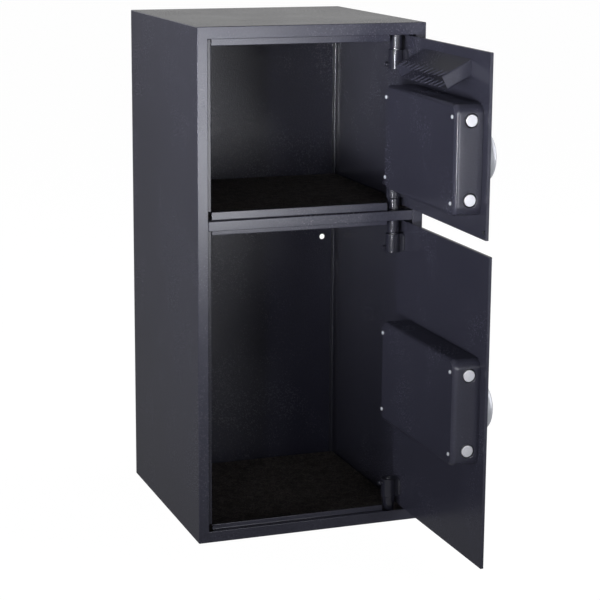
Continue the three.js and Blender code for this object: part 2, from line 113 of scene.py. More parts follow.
camera_data = bpy.data.cameras.new("Camera")
camera_data.sensor_width = sensor_width
camera_data.lens = lens_length
camera_data.shift_y = frame_shift
camera_data.clip_end = far_limit
camera = bpy.data.objects.new("Camera", camera_data)
camera.rotation_mode = "QUATERNION"
camera.location = camera_place
level_view = camera_forward.to_track_quat("-Z", "Y")
camera.rotation_quaternion = level_view @ Quaternion((0, 0, 1), camera_roll)
bpy.context.scene.collection.objects.link(camera)
bpy.context.scene.camera = camera
bpy.context.scene.view_settings.view_transform = "Standard"
print("camera looks along", [round(part, 3) for part in camera_forward])

# %% [markdown]
# ## Building materials from nodes
# Every finish here is procedural. A few small helpers keep the node code short. An input
# of a node is fed by another node's output or by a constant, so one helper does both, and
# the others make a node, a sum, a blend and a ramp with it.

# %% Helpers for nodes
# A Mix node has other sockets for each kind of value: first, second and result
MIX_SOCKETS = {"RGBA": (6, 7, 2), "FLOAT": (2, 3, 0)}


def feed(tree, socket, value):
    """Link an input to another node's output, or set it to a constant."""
    if isinstance(value, bpy.types.NodeSocket):
        tree.links.new(value, socket)
    else:
        socket.default_value = value


def node_of(tree, kind, values=None, **settings):
    """A node with its settings, whose inputs are fed by name."""
    node = tree.nodes.new(kind)
    for name, value in settings.items():
        setattr(node, name, value)
    for name, value in (values or {}).items():
        feed(tree, node.inputs[name], value)
    return node


def math_of(tree, operation, first, second):
    """The result of a math node of two inputs."""
    node = node_of(tree, "ShaderNodeMath", operation=operation)
    feed(tree, node.inputs[0], first)
    feed(tree, node.inputs[1], second)
    return node.outputs[0]


def mix_of(tree, kind, share, first, second):
    """A blend of two colours or of two numbers."""
    first_slot, second_slot, result_slot = MIX_SOCKETS[kind]
    node = node_of(tree, "ShaderNodeMix", data_type=kind)
    for slot, value in ((0, share), (first_slot, first), (second_slot, second)):
        feed(tree, node.inputs[slot], value)
    return node.outputs[result_slot]


def ramp_of(tree, band, source):
    """A ramp that stretches a narrow band of a noise to the full range."""
    low, high = band
    spread = node_of(tree, "ShaderNodeMapRange", {"From Min": low, "From Max": high, "Value": source})
    return spread.outputs["Result"]


# %% [markdown]
# A group is a small tree of its own with named sockets, and a material is a tree that ends
# in a shader. What is constant, such as the share of metal, is set on the shader itself.

# %% Helpers for groups and materials
def group_of(name, inputs, outputs):
    """An empty node group with float or colour sockets, and its two end nodes."""
    tree = bpy.data.node_groups.new(name, "ShaderNodeTree")
    for label, kind, value in inputs:
        socket = tree.interface.new_socket(label, in_out="INPUT", socket_type=kind)
        socket.default_value = value
    for label, kind in outputs:
        tree.interface.new_socket(label, in_out="OUTPUT", socket_type=kind)
    return tree, tree.nodes.new("NodeGroupInput"), tree.nodes.new("NodeGroupOutput")


def material_of(name, shader_values):
    """A material with one Principled shader and its constants."""
    material = bpy.data.materials.new(name)
    material.use_nodes = True
    shader = material.node_tree.nodes["Principled BSDF"]
    for label, value in shader_values.items():
        shader.inputs[label].default_value = value
    return material, material.node_tree, shader


# %% [markdown]
# ## Grain
# Powder coat is sprayed as a dry powder and melted in an oven, so it keeps a fine orange
# peel. Felt, rubber and lacquer have a grain too, only finer or coarser. One group makes
# the grain for all of them: a fine noise for the bumps, a slow one for cloudy tones.

# %% The grain group
FLOAT = "NodeSocketFloat"
COLOR = "NodeSocketColor"
PEEL_BAND = (0.3, 0.7)
DRIFT_BAND = (0.05, 0.65)


def make_grain_group():
    tree, inside, outside = group_of(
        "Grain",
        [("Grain Scale", FLOAT, 1000.0), ("Cloud Scale", FLOAT, 12.0), ("Dark", COLOR, (0, 0, 0, 1)),
         ("Light", COLOR, (1, 1, 1, 1)), ("Smooth", FLOAT, 0.4), ("Rough", FLOAT, 0.6)],
        [("Color", COLOR), ("Roughness", FLOAT), ("Height", FLOAT)],
    )
    given = inside.outputs
    place = node_of(tree, "ShaderNodeTexCoord").outputs["Object"]
    fine = node_of(
        tree, "ShaderNodeTexNoise",
        {"Vector": place, "Scale": given["Grain Scale"], "Detail": 3.0, "Roughness": 0.6},
    )
    cloud = node_of(
        tree, "ShaderNodeTexNoise",
        {"Vector": place, "Scale": given["Cloud Scale"], "Detail": 2.0, "Roughness": 0.5},
    )
    peel = ramp_of(tree, PEEL_BAND, fine.outputs["Fac"])
    drift = ramp_of(tree, DRIFT_BAND, cloud.outputs["Fac"])
    both = math_of(tree, "MULTIPLY", peel, drift)
    tone = mix_of(tree, "RGBA", both, given["Dark"], given["Light"])
    gloss = mix_of(tree, "FLOAT", both, given["Smooth"], given["Rough"])
    for label, value in (("Color", tone), ("Roughness", gloss), ("Height", peel)):
        tree.links.new(value, outside.inputs[label])
    return tree


GRAIN = make_grain_group()
print("grain group", len(GRAIN.nodes), "nodes")

# %% [markdown]
# Each finish places the group once and feeds its three results to the shader. What sets one
# finish apart from another is then a single line of values.

# %% A finish with grain
def grained(name, scales, dark, light, gloss, bumps, shader_values=None):
    """A material whose colour, roughness and bump all come from the grain group.

    Scales are those of the grain and of the clouds. Gloss is the roughness of smooth spots
    and of rough ones. Bumps are a height in metres and a strength.
    """
    material, tree, shader = material_of(name, shader_values or {})
    values = {
        "Grain Scale": scales[0], "Cloud Scale": scales[1], "Dark": (*dark, 1), "Light": (*light, 1),
        "Smooth": gloss[0], "Rough": gloss[1],
    }
    grain = node_of(tree, "ShaderNodeGroup", values, node_tree=GRAIN).outputs
    relief = {"Height": grain["Height"], "Distance": bumps[0], "Strength": bumps[1]}
    bump = node_of(tree, "ShaderNodeBump", relief)
    tree.links.new(grain["Color"], shader.inputs["Base Color"])
    tree.links.new(grain["Roughness"], shader.inputs["Roughness"])
    tree.links.new(bump.outputs["Normal"], shader.inputs["Normal"])
    print("made", name)
    return material


# %% [markdown]
# ## Black powder coat
# The whole cabinet, the doors, the covers and the chute are coated in one black with a
# cold, slightly blue cast. The coat is half matt: it shows soft reflections of the
# lamps along every fold, so its roughness matters more than its colour.

# %% Black powder coat
black_coat = grained(
    "black_powder_coat", scales=(480, 9), dark=(0.022, 0.022, 0.032), light=(0.036, 0.036, 0.051),
    gloss=(0.19, 0.30), bumps=(0.00007, 0.42), shader_values={"Specular IOR Level": 0.55},
)

# %% [markdown]
# The back panel is coated thicker and before it is set in, so its orange peel is coarser.
# It breaks the mirror image of a lamp into a soft, grainy glow. Its tone is set darker than
# the same coat on the rest of the cabinet: that is painted shade for the deep back wall.

# %% Coarse coat of the back panel, with painted shade
# The darker tone of this coat is painted shade, not a colour of the paint itself.
panel_coat_painted_shade = grained(
    "black_panel_coat", scales=(520, 9), dark=(0.012, 0.012, 0.021), light=(0.022, 0.022, 0.035),
    gloss=(0.22, 0.30), bumps=(0.00022, 0.8), shader_values={"Specular IOR Level": 0.5},
)

# %% [markdown]
# ## Gloss black on the hinges
# The hinge barrels and posts are machined from bar, so the same paint lies smoother on
# them and shows a sharp upright highlight.

# %% Hinge paint
hinge_coat = grained(
    "black_hinge_paint", scales=(480, 30), dark=(0.012, 0.012, 0.018), light=(0.022, 0.022, 0.031),
    gloss=(0.16, 0.26), bumps=(0.00007, 0.6), shader_values={"Specular IOR Level": 0.9},
)

# %% [markdown]
# ## Felt on the floors
# A thin needled felt lies on both floors. Its fibres lie in all directions, so it takes
# almost no highlight, only a faint light rim where one looks along it.

# %% Felt
felt = grained(
    "dark_felt", scales=(420, 110), dark=(0.012, 0.010, 0.009), light=(0.210, 0.178, 0.158),
    gloss=(0.9, 1.0), bumps=(0.0012, 0.9),
    shader_values={"Specular IOR Level": 0.08, "Sheen Weight": 0.04, "Sheen Roughness": 0.5},
)

# %% [markdown]
# ## Rubber, plastic and lacquer
# The keys are a matt dark rubber, the solenoid's coil is wrapped in blue plastic, and
# the keypad housing and the knob are sprayed in a silver lacquer with fine metal flakes.

# %% Keys, coils and silver lacquer
key_rubber = grained(
    "key_rubber", scales=(2600, 60), dark=(0.016, 0.017, 0.019), light=(0.026, 0.027, 0.030),
    gloss=(0.5, 0.62), bumps=(0.0001, 0.3),
)
coil_plastic = grained(
    "coil_plastic", scales=(1800, 50), dark=(0.020, 0.055, 0.105), light=(0.034, 0.085, 0.155),
    gloss=(0.4, 0.5), bumps=(0.0001, 0.3),
)
silver_lacquer = grained(
    "silver_lacquer", scales=(5200, 20), dark=(0.44, 0.45, 0.47), light=(0.52, 0.53, 0.55),
    gloss=(0.3, 0.42), bumps=(0.00004, 0.2), shader_values={"Metallic": 0.15, "Coat Weight": 0.3},
)
digit_print = grained(
    "digit_print", scales=(3000, 90), dark=(0.62, 0.63, 0.64), light=(0.74, 0.75, 0.76),
    gloss=(0.45, 0.55), bumps=(0.00003, 0.2),
)

# %% [markdown]
# ## Turned and plated steel
# A bolt is turned on a lathe, which leaves fine rings round its axis. The rings follow
# the piece, not the room, so they read an attribute that the turned part carries: the
# distance along its profile.

# %% Turned steel
ring_scale = 2600.0


def make_turned_steel():
    material, tree, shader = material_of("turned_steel", {"Metallic": 1.0})
    along = node_of(tree, "ShaderNodeAttribute", attribute_name="along")
    rings = node_of(
        tree, "ShaderNodeTexNoise", {"W": along.outputs["Fac"], "Scale": ring_scale, "Detail": 2.0},
        noise_dimensions="1D",
    )
    cut = ramp_of(tree, PEEL_BAND, rings.outputs["Fac"])
    tone = mix_of(tree, "RGBA", cut, (0.68, 0.68, 0.70, 1), (0.84, 0.84, 0.86, 1))
    gloss = node_of(tree, "ShaderNodeMapRange", {"Value": cut, "To Min": 0.38, "To Max": 0.52})
    bump = node_of(tree, "ShaderNodeBump", {"Height": cut, "Distance": 0.00003, "Strength": 0.4})
    tree.links.new(tone, shader.inputs["Base Color"])
    tree.links.new(gloss.outputs["Result"], shader.inputs["Roughness"])
    tree.links.new(bump.outputs["Normal"], shader.inputs["Normal"])
    return material


turned_steel = make_turned_steel()
print("made", turned_steel.name)

# %% [markdown]
# Zinc plate is duller, with a faint bloom of crystals. The heads of the screws are so small
# that a full metal would turn black from many sides, so their zinc is only partly metallic.
# It is also set brighter than the plate: partly the real bright zinc, partly a painted glint
# that keeps the heads light from every side.

# %% Zinc
zinc_plate = grained(
    "zinc_plate", scales=(700, 45), dark=(0.62, 0.63, 0.65), light=(0.80, 0.81, 0.83),
    gloss=(0.22, 0.36), bumps=(0.00005, 0.3), shader_values={"Metallic": 1.0},
)
# The screws' zinc is brighter and partly diffuse: real bright zinc with a painted glint.
screw_zinc_painted_glint = grained(
    "screw_zinc_painted_glint", scales=(1500, 90), dark=(0.74, 0.75, 0.77), light=(0.90, 0.91, 0.93),
    gloss=(0.30, 0.42), bumps=(0.00002, 0.2), shader_values={"Metallic": 0.6},
)

# %% [markdown]
# ## Finishing a piece
# A finished piece is one mesh at the origin that rides on a body of the safe, has a material
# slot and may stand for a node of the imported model. A piece that was built with the door
# shut is turned open on the way.

# %% Helpers that make a piece
BODIES = frame["record"]["behaviour"]["bodies"]
BODY_OF = {node: body for body, nodes in BODIES.items() for node in nodes}


def new_piece(bm, name, body, material, replaced=(), side=None):
    """Write a bmesh to an object at the origin that rides on a body of the safe."""
    if side:
        bmesh.ops.transform(bm, matrix=OPENING[side], verts=bm.verts)
    mesh = bpy.data.meshes.new(name)
    bm.to_mesh(mesh)
    bm.free()
    mesh.shade_smooth()
    mesh.materials.append(material)
    piece = bpy.data.objects.new(name, mesh)
    bpy.context.scene.collection.objects.link(piece)
    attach(piece, body)
    if replaced:
        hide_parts(*replaced)
    return piece


def piece_for(node, ending, bm, material, side=None):
    """A finished piece that stands for a node, on its body and in its material slot."""
    return new_piece(bm, f"{node}_{ending}", BODY_OF[node], material, (node,), side)


# %% [markdown]
# Sheet metal never has a knife edge: a brake leaves a small radius on a fold, and a
# deburred cut edge is broken too. A copy of a node is merged, its flat faces are
# dissolved into single ones, and a Bevel modifier then rounds every sharp edge.

# %% Helpers that round a piece
merge_distance = 0.001 * MM
flat_angle = math.radians(0.5)


def merged_copy(node):
    """A bmesh of a node with its doubles merged and its flat faces made whole."""
    bm = bmesh.new()
    bm.from_mesh(frame["nodes"][node].data)
    bmesh.ops.remove_doubles(bm, verts=bm.verts, dist=merge_distance)
    bmesh.ops.dissolve_limit(bm, angle_limit=flat_angle, verts=bm.verts, edges=bm.edges)
    return bm


def weighted(piece):
    """Flat faces keep a flat shading beside the rounded ones."""
    normals = piece.modifiers.new("Weighted normals", "WEIGHTED_NORMAL")
    normals.weight = 100
    normals.keep_sharp = False
    return piece


def round_edges(piece, width, segments=3, angle=35):
    """Live rounding of the sharp edges."""
    bevel = piece.modifiers.new("Rounded edges", "BEVEL")
    bevel.width = width
    bevel.segments = segments
    bevel.limit_method = "ANGLE"
    bevel.angle_limit = math.radians(angle)
    return weighted(piece)


def dressed(node, material, width):
    """A merged copy of a node with rounded edges and a finish."""
    return round_edges(piece_for(node, "finished", merged_copy(node), material), width)


# %% [markdown]
# ## Cabinet
# The body is one sheet wrapped round and folded in at the front to make the frame, with
# the shelf, the stop angles and the back panel set in. Wide folds get a wide radius.

# %% Cabinet pieces
cabinet_folds = {
    "cabinet_shell": 1.6 * MM,
    "back_panel": 0.5 * MM,
    "divider_shelf": 0.8 * MM,
    "head_stop": 0.8 * MM,
    "sill_stop": 0.8 * MM,
    "upper_side_stop": 0.8 * MM,
    "lower_side_stop": 0.8 * MM,
}
mat_edge = 0.6 * MM
# The back panel takes the darker coat, whose tone is painted shade.
for node, fold in cabinet_folds.items():
    dressed(node, panel_coat_painted_shade if node == "back_panel" else black_coat, fold)
for side in SIDES:
    dressed(f"{side}_floor_mat", felt, mat_edge)
print("cabinet pieces", len(cabinet_folds) + len(SIDES))

# %% [markdown]
# The back panel is a sheet of its own, and its upright edge is turned forward and welded
# to the side wall. The bend is a hollow round, so it gathers light into a bright upright
# line in the right back corner of each compartment. Its section is drawn as points from
# the panel round the bend to the flange, and is then pulled up.

# %% Turned edge of the back panel
bend_radius = 3.5 * MM
bend_steps = 10
flange_depth = 7.0 * MM
flange_sheet = 0.9 * MM
flange_edge = 0.3 * MM
wall_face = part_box("divider_shelf")[1].x
panel_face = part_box("divider_shelf")[1].y


def turned_edge(name, bottom, top):
    centre = Vector((wall_face - flange_sheet - bend_radius, panel_face - flange_sheet - bend_radius))
    turns = [math.radians(90 * step / bend_steps) for step in range(bend_steps + 1)]
    bend = [centre + Vector((math.sin(turn), math.cos(turn))) * bend_radius for turn in turns]
    panel_end = Vector((centre.x - flange_depth / 2, bend[0].y))
    flange_end = Vector((bend[-1].x, centre.y - flange_depth))
    bm = bmesh.new()
    row = [bm.verts.new((point.x, point.y, bottom)) for point in (panel_end, *bend, flange_end)]
    strip = [bm.edges.new(pair) for pair in zip(row, row[1:])]
    pulled = bmesh.ops.extrude_edge_only(bm, edges=strip)["geom"]
    risen = [part for part in pulled if isinstance(part, bmesh.types.BMVert)]
    bmesh.ops.translate(bm, vec=(0, 0, top - bottom), verts=risen)
    bmesh.ops.recalc_face_normals(bm, faces=bm.faces)
    on_panel = min(bm.faces, key=lambda face: face.calc_center_median().x)
    if on_panel.normal.y > 0:
        bmesh.ops.reverse_faces(bm, faces=bm.faces)
    piece = new_piece(bm, name, "cabinet", hinge_coat)
    sheet = piece.modifiers.new("Sheet", "SOLIDIFY")
    sheet.thickness = flange_sheet
    sheet.offset = -1
    print(name, "rises", round((top - bottom) / MM, 1), "mm")
    return round_edges(piece, flange_edge, segments=2, angle=50)


turned_edge("upper_back_turned_edge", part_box("upper_floor_mat")[1].z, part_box("back_panel")[1].z)
turned_edge("lower_back_turned_edge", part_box("lower_floor_mat")[1].z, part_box("divider_shelf")[0].z)

# %% [markdown]
# ## Doors
# The doors are plain plates of over four millimetres, so their cut edges show as a thin
# bright line. The slot for the deposit is already in the upper one.

# %% Doors
door_edge = 1.0 * MM
for side in SIDES:
    dressed(f"{side}_door", black_coat, door_edge)
print("door edges rounded by", door_edge / MM, "mm")

# %% [markdown]
# ## Deposit chute
# The chute is bent from thin sheet to a flat tube, and its teeth are punched. A bend has a
# radius: about the sheet's thickness inside, and that plus the sheet outside. The bends are
# found as the long edges down the slope, on the inner walls and then on the outer ones.

# %% Deposit chute
chute_sheet = 1.5 * MM
chute_bend = 1.5 * MM
chute_edge = 0.25 * MM
same_place = 0.1 * MM
shortest_bend = 25 * MM
low, high = shut_box("deposit_chute", "upper")


def bends_at(bm, walls):
    """The long sloping edges that lie in one of the planes x = wall."""
    bends = []
    for edge in bm.edges:
        start, end = (vert.co for vert in edge.verts)
        on_wall = any(abs(point.x - wall) < same_place for wall in walls for point in (start, end))
        down_slope = abs(start.x - end.x) < same_place and abs(start.y - end.y) > shortest_bend
        if on_wall and down_slope:
            bends.append(edge)
    return bends


bm = merged_copy("deposit_chute")
bmesh.ops.transform(bm, matrix=OPENING["upper"].inverted(), verts=bm.verts)
for inset, radius in ((chute_sheet, chute_bend), (0.0, chute_bend + chute_sheet)):
    bends = bends_at(bm, (low.x + inset, high.x - inset))
    bmesh.ops.bevel(bm, geom=bends, offset=radius, affect="EDGES", segments=6, profile=0.5, material=-1)
    print("chute bends", len(bends), "radius in mm", round(radius / MM, 2))
chute = piece_for("deposit_chute", "bent", bm, black_coat, "upper")
round_edges(chute, chute_edge, segments=2, angle=40)

# %% [markdown]
# ## Hinges
# Each door hangs on two pins. A post is welded in the frame and a barrel on the plate, and
# both are short lengths of bar with turned ends, so their edges are broken widely.

# %% Hinges
hinge_edge = 0.7 * MM
pin_edge = 0.5 * MM
for side in SIDES:
    for end in ("top", "bottom"):
        dressed(f"{side}_hinge_barrel_{end}", hinge_coat, hinge_edge)
        dressed(f"{side}_hinge_post_{end}", hinge_coat, hinge_edge)
        dressed(f"{side}_hinge_pin_{end}", zinc_plate, pin_edge)
print("hinges", 2 * len(SIDES))

# %% [markdown]
# ## Turned parts
# A turned part is a profile spun round an axis. Each profile point also carries its
# distance along the profile, which the turned steel reads for its tool marks.

# %% Spinning a profile
ROUND_STEPS = 64


def turned_part(profile):
    """Spin points of (radius, height) round Z. The profile starts and ends on the axis."""
    bm = bmesh.new()
    along = bm.verts.layers.float.new("along")
    verts = [bm.verts.new((radius, 0, height)) for radius, height in profile]
    length = 0.0
    for previous, vert in zip([verts[0]] + verts, verts):
        length += (vert.co - previous.co).length
        vert[along] = length
    edges = [bm.edges.new(pair) for pair in zip(verts, verts[1:])]
    bmesh.ops.spin(
        bm, geom=verts + edges, cent=(0, 0, 0), axis=(0, 0, 1), angle=2 * math.pi,
        steps=ROUND_STEPS, use_merge=True,
    )
    bmesh.ops.remove_doubles(bm, verts=bm.verts, dist=merge_distance)
    bmesh.ops.recalc_face_normals(bm, faces=bm.faces)
    return bm


def place_along(axis, middle):
    """The matrix that turns a part from Z to another axis and carries it to its place."""
    turn = Vector((0, 0, 1)).rotation_difference(Vector(axis)).to_matrix().to_4x4()
    return Matrix.Translation(middle) @ turn


def laid_along(bm, axis, middle):
    bmesh.ops.transform(bm, matrix=place_along(axis, middle), verts=bm.verts)
    return bm


# %% [markdown]
# ## Bolts
# Two round live bolts stand in the free side of each cover. Their ends are faced flat and
# their rims are chamfered so that they ride over the edge of the frame. Behind the cover a
# carriage joins them, and the plunger of a solenoid blocks it.

# %% Bolts
bolt_chamfer = 0.9 * MM
bolt_edge = 0.25 * MM
bolt_works = {
    "bolt_carriage": (zinc_plate, 0.4 * MM),
    "solenoid": (coil_plastic, 0.8 * MM),
    "plunger": (turned_steel, 0.4 * MM),
}


def bolt(side, level):
    node = f"{side}_bolt_{level}"
    low, high = shut_box(node, side)
    radius = (high.z - low.z) / 2
    length = high.x - low.x
    face = radius - bolt_chamfer
    bm = turned_part([
        (0, 0), (radius / 2, 0), (face, 0), (radius, bolt_chamfer), (radius, length / 2),
        (radius, length - bolt_chamfer), (face, length), (0, length),
    ])
    laid_along(bm, (1, 0, 0), Vector((low.x, (low.y + high.y) / 2, (low.z + high.z) / 2)))
    print(node, "radius", round(radius / MM, 1), "length", round(length / MM, 1), "mm")
    return round_edges(piece_for(node, "turned", bm, turned_steel, side), bolt_edge, segments=2, angle=30)


for side in SIDES:
    for level in ("high", "low"):
        bolt(side, level)
    for part, (material, edge) in bolt_works.items():
        dressed(f"{side}_{part}", material, edge)

# %% [markdown]
# ## Pressed trays
# The lock cover and the keypad housing are both trays: a flat blank with round corners is
# drawn over a die, and its rim turns into walls through a soft edge. A tray is a stack of
# rings, each a rounded rectangle: up the outside, over the edge, and down again on the
# inside.

# %% The outline of a ring
CORNER_STEPS = 14
SIDE_STEPS = 14
shortest_straight = 4 * MM


def rounded_outline(low, high, corner, inset):
    """Points (x, z) of a rounded rectangle that lies inside the box by an inset."""
    points = []
    radius = corner - inset
    middles = [(high.x - corner, high.z - corner), (low.x + corner, high.z - corner),
               (low.x + corner, low.z + corner), (high.x - corner, low.z + corner)]
    for quarter, (x, z) in enumerate(middles):
        for step in range(CORNER_STEPS + 1):
            turn = math.radians(90) * (quarter + step / CORNER_STEPS)
            points.append(Vector((x + radius * math.cos(turn), z + radius * math.sin(turn))))
        next_x, next_z = middles[(quarter + 1) % 4]
        turn = math.radians(90) * (quarter + 1)
        goal = Vector((next_x + radius * math.cos(turn), next_z + radius * math.sin(turn)))
        if (goal - points[-1]).length > shortest_straight:
            start = points[-1]
            points += [start.lerp(goal, step / SIDE_STEPS) for step in range(1, SIDE_STEPS)]
    return points


# %% [markdown]
# Long walls are never quite straight after pressing, so a slow noise shifts the rings, the
# more the higher they lie. Its seed is set, because it would otherwise start from the clock.

# %% A pressed tray
EDGE_STEPS = 8
WALL_STEPS = 4
wave_scale = 16.0
wave_seed = 1
noise.seed_set(wave_seed)


def skin_over(bm, rings):
    """Join each ring to the next one with four-sided faces, and close both ends."""
    for ring, after in zip(rings, rings[1:]):
        for index in range(len(ring)):
            beyond = (index + 1) % len(ring)
            bm.faces.new((ring[index], ring[beyond], after[beyond], after[index]))
    bm.faces.new(rings[0])
    bm.faces.new(rings[-1])
    bmesh.ops.recalc_face_normals(bm, faces=bm.faces)


def pressed_tray(low, high, back, face, corner, edge, sheet, waviness):
    """A tray over a box: its open rim is at y = back and its flat face is at y = face."""
    outward = 1 if face > back else -1
    depth = abs(face - back)
    inner_edge = edge - sheet
    turns = [math.radians(90) * step / EDGE_STEPS for step in range(EDGE_STEPS + 1)]
    wall = [(depth - edge) * step / WALL_STEPS for step in range(WALL_STEPS)]
    outer = [(0.0, rise) for rise in wall]
    outer += [(edge * (1 - math.cos(turn)), depth - edge * (1 - math.sin(turn))) for turn in turns]
    inner = [(sheet, rise) for rise in wall]
    inner += [(sheet + inner_edge * (1 - math.cos(turn)), depth - sheet - inner_edge * (1 - math.sin(turn)))
              for turn in turns]
    bm = bmesh.new()
    rings = []
    for inset, rise in outer[::-1] + inner:
        ring = []
        for x, z in rounded_outline(low, high, corner, inset):
            place = Vector((x, back + outward * rise, z))
            shift = noise.noise_vector(place * wave_scale) * waviness * rise / depth
            ring.append(bm.verts.new(place + Vector((shift.x, 0, shift.z))))
        rings.append(ring)
    skin_over(bm, rings)
    return bm


# %% [markdown]
# Holes are punched in a tray with a Boolean modifier whose result is baked at once. The
# cutters are closed shapes in a bmesh of their own, and both helpers are thrown away.

# %% Punching holes
DRILL_SIDES = 48


def loose_object(bm, name):
    mesh = bpy.data.meshes.new(name)
    bm.to_mesh(mesh)
    bm.free()
    thing = bpy.data.objects.new(name, mesh)
    bpy.context.scene.collection.objects.link(thing)
    return thing


def punched(bm, cutters):
    """Cut closed shapes out of a closed piece and bake the result."""
    stock, tools = loose_object(bm, "stock"), loose_object(cutters, "tools")
    holes = stock.modifiers.new("Holes", "BOOLEAN")
    holes.operation = "DIFFERENCE"
    holes.solver = "EXACT"
    holes.object = tools
    bpy.context.view_layer.update()
    baked = bmesh.new()
    baked.from_object(stock, bpy.context.evaluated_depsgraph_get())
    for used in (stock, tools):
        mesh = used.data
        bpy.data.objects.remove(used)
        bpy.data.meshes.remove(mesh)
    return baked


def drill(bm, middle, axis, radius, depth, sides=DRILL_SIDES):
    """Add a round cutter, or one with a few flat sides, along an axis."""
    bmesh.ops.create_cone(
        bm, cap_ends=True, segments=sides, radius1=radius, radius2=radius, depth=depth,
        matrix=place_along(axis, middle),
    )


# %% [markdown]
# ## Lock covers
# The cover is a steel tray that screws to the door over the bolt work. The bolts slide in
# two round holes in its free side, with a little play that shows as a thin dark ring.

# %% Lock covers
cover_corner = 14 * MM
cover_edge = 7 * MM
cover_sheet = 1.5 * MM
cover_waviness = 0.5 * MM
bolt_play = 1.1 * MM
bolt_hole_depth = 10 * MM


def lock_cover(side):
    node = f"{side}_lock_cover"
    low, high = shut_box(node, side)
    bm = pressed_tray(low, high, low.y, high.y, cover_corner, cover_edge, cover_sheet, cover_waviness)
    cutters = bmesh.new()
    for level in ("high", "low"):
        bolt_low, bolt_high = shut_box(f"{side}_bolt_{level}", side)
        middle = Vector((low.x, (bolt_low.y + bolt_high.y) / 2, (bolt_low.z + bolt_high.z) / 2))
        hole_radius = (bolt_high.z - bolt_low.z) / 2 + bolt_play
        drill(cutters, middle, (1, 0, 0), hole_radius, bolt_hole_depth)
    bm = punched(bm, cutters)
    print(node, len(bm.faces), "faces")
    return weighted(piece_for(node, "pressed", bm, black_coat, side))


for side in SIDES:
    lock_cover(side)

# %% [markdown]
# ## Cover screws
# Four bright pan head screws hold each cover. The head is turned and a cross recess is cut
# in it: one arm of the star is drawn four times round the axis and then pulled up.

# %% Screw head
screw_radius = 2.8 * MM
screw_rise = 2.0 * MM
screw_foot = 0.6 * MM
rim_share = 0.25
recess_width = 0.5 * MM
recess_length = 2.6 * MM
recess_depth = 0.7 * MM
DOME_TURNS = [math.radians(step * 10) for step in range(9)]


def screw_head():
    """A pan head on Z with a cross recess, standing on z = 0."""
    dome = [(screw_radius * math.cos(turn), screw_rise * (rim_share + (1 - rim_share) * math.sin(turn)))
            for turn in DOME_TURNS]
    bm = turned_part([(0, -screw_foot), (screw_radius, -screw_foot), *dome, (0, screw_rise)])
    half, reach = recess_width / 2, recess_length / 2
    arm = [(half, half), (half, reach), (-half, reach)]
    cross = bmesh.new()
    star = []
    for quarter in range(4):
        for x, y in arm:
            turned = Matrix.Rotation(math.radians(90) * quarter, 3, "Z") @ Vector((x, y, 0))
            star.append(cross.verts.new(turned + Vector((0, 0, screw_rise - recess_depth))))
    cross.faces.new(star)
    pulled = bmesh.ops.extrude_face_region(cross, geom=cross.faces[:])["geom"]
    raised = [part for part in pulled if isinstance(part, bmesh.types.BMVert)]
    bmesh.ops.translate(cross, vec=(0, 0, 2 * recess_depth), verts=raised)
    bmesh.ops.recalc_face_normals(cross, faces=cross.faces)
    return punched(bm, cross)


head = screw_head()
print("screw head", len(head.faces), "faces")

# %% [markdown]
# One finished head is copied to the four corners of a cover. A screw stops wherever it is
# tight, so each recess is given another turn.

# %% Cover screws
screw_rows = 59 * MM
screw_from_free_side = 11.5 * MM
screw_from_hinge_side = 7.5 * MM
first_spin = 0.5
spin_per_metre = 9


def set_in(bm, part, middle, axis, spin=0.0):
    """Add a copy of a finished part to a bmesh, turned from Z to an axis."""
    copy = part.copy()
    place = place_along(axis, middle) @ Matrix.Rotation(spin, 4, "Z")
    bmesh.ops.transform(copy, matrix=place, verts=copy.verts)
    mesh = bpy.data.meshes.new("copy")
    copy.to_mesh(mesh)
    copy.free()
    bm.from_mesh(mesh)
    bpy.data.meshes.remove(mesh)


for side in SIDES:
    low, high = shut_box(f"{side}_lock_cover", side)
    middle = (low.z + high.z) / 2
    bm = bmesh.new()
    for column, x in enumerate((low.x + screw_from_free_side, high.x - screw_from_hinge_side)):
        for row in (-screw_rows, screw_rows):
            spin = first_spin + column + row * spin_per_metre
            set_in(bm, head, Vector((x, high.y, middle + row)), (0, 1, 0), spin)
    weighted(new_piece(bm, f"{side}_cover_screws", f"{side}_door_leaf", screw_zinc_painted_glint, (), side))
head.free()
print("cover screws", 4 * len(SIDES))

# %% [markdown]
# ## Set screws
# A set screw locks each hinge pin in its barrel. It has a dark button head with a hexagon
# socket, so it is made as the cover screws are, with a six-sided cutter for the socket.

# %% Set screws
set_radius = 3.8 * MM
set_reach = 5.8 * MM
set_foot = 1.5 * MM
set_dome = 1.6 * MM
set_from_end = 6.5 * MM
socket_radius = 1.6 * MM
socket_depth = 1.5 * MM


def set_screw_head():
    dome = [(set_radius * math.cos(turn), set_reach - set_dome * (1 - math.sin(turn)))
            for turn in DOME_TURNS]
    bm = turned_part([(0, -set_foot), (set_radius, -set_foot), *dome, (0, set_reach)])
    socket = bmesh.new()
    drill(socket, (0, 0, set_reach), (0, 0, 1), socket_radius, 2 * socket_depth, sides=6)
    return punched(bm, socket)


button = set_screw_head()
for side in SIDES:
    bm = bmesh.new()
    for end in ("top", "bottom"):
        low, high = shut_box(f"{side}_hinge_barrel_{end}", side)
        level = low.z + set_from_end if end == "top" else high.z - set_from_end
        set_in(bm, button, Vector(((low.x + high.x) / 2, high.y, level)), (0, 1, 0))
    name = f"{side}_hinge_set_screws"
    weighted(new_piece(bm, name, f"{side}_door_leaf", hinge_coat, (), side))
button.free()
print("set screws", 2 * len(SIDES))

# %% [markdown]
# ## Welds
# The barrels are welded to the plate on both sides of their foot. A weld freezes in small
# steps as the torch moves on, so it looks like a row of scales under the paint. A bead is
# a stack of rings whose radius ripples, tapers at both ends and is a little uneven.

